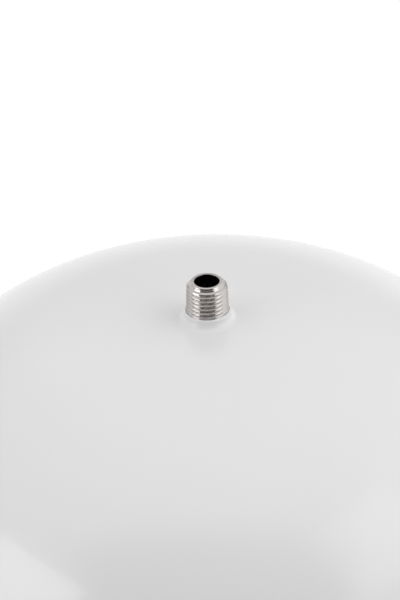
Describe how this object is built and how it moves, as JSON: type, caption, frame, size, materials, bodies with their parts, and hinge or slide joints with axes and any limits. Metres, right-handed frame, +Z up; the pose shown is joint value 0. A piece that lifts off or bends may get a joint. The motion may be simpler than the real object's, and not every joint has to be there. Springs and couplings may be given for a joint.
{
  "type": "reverse osmosis storage tank",
  "caption": "Upright painted steel pressure tank with domed ends, a threaded steel water nipple on top, a side air valve with screw cap, and a moulded ring stand.",
  "frame": {"origin": "on the floor under the centre of the ring stand, on the tank's axis", "axes": "+Z up along the tank's axis, out of the water port; +X out along the air valve; the picture looks from -Y"},
  "size_m": [0.2513, 0.2302, 0.355],
  "materials": {
    "white_enamel": "gloss white baked enamel on steel",
    "stainless": "turned stainless steel",
    "liner_plastic": "natural polypropylene",
    "butyl_rubber": "moulded butyl rubber",
    "seal_rubber": "black seal rubber",
    "plain_steel": "zinc plated steel",
    "stand_plastic": "black injection moulded polypropylene",
    "plated_brass": "nickel plated brass",
    "brass": "turned brass",
    "spring_steel": "spring wire",
    "cap_plastic": "blue moulded plastic"
  },
  "bodies": {
    "tank": {"upper_shell": "white_enamel", "lower_shell": "white_enamel", "port_nipple": "stainless", "port_o_ring": "seal_rubber", "liner": "liner_plastic", "diaphragm": "butyl_rubber", "clench_ring": "plain_steel", "base_stand": "stand_plastic", "valve_stem": "plated_brass", "valve_grommet": "seal_rubber", "valve_washer": "plain_steel", "valve_nut": "plated_brass", "core_plug": "brass", "core_sleeve": "brass", "core_gasket": "seal_rubber", "core_spring": "spring_steel"},
    "valve_pin": {"core_pin": "brass", "core_seal": "seal_rubber"},
    "cap_lift": {"cap_seal": "seal_rubber"},
    "cap": {"valve_cap": "cap_plastic"}
  },
  "joints": [
    {"name": "pin_press", "type": "slide", "parent": "tank", "child": "valve_pin", "axis": [-1, 0, 0], "range_m": [0, 0.0012], "stiffness_N_per_m": 1000, "springref_m": -0.002, "deforming": ["core_spring"]},
    {"name": "cap_travel", "type": "slide", "parent": "tank", "child": "cap_lift", "axis": [1, 0, 0], "range_m": [0, 0.00397]},
    {"name": "cap_turn", "type": "hinge", "parent": "cap_lift", "child": "cap", "pos_m": [0.1342, 0, 0.112], "axis": [1, 0, 0], "range_deg": [0, 1800]}
  ],
  "couplings": [
    {"joint": "cap_turn", "follows": "cap_travel", "rad_per_m": 7915.8}
  ]
}
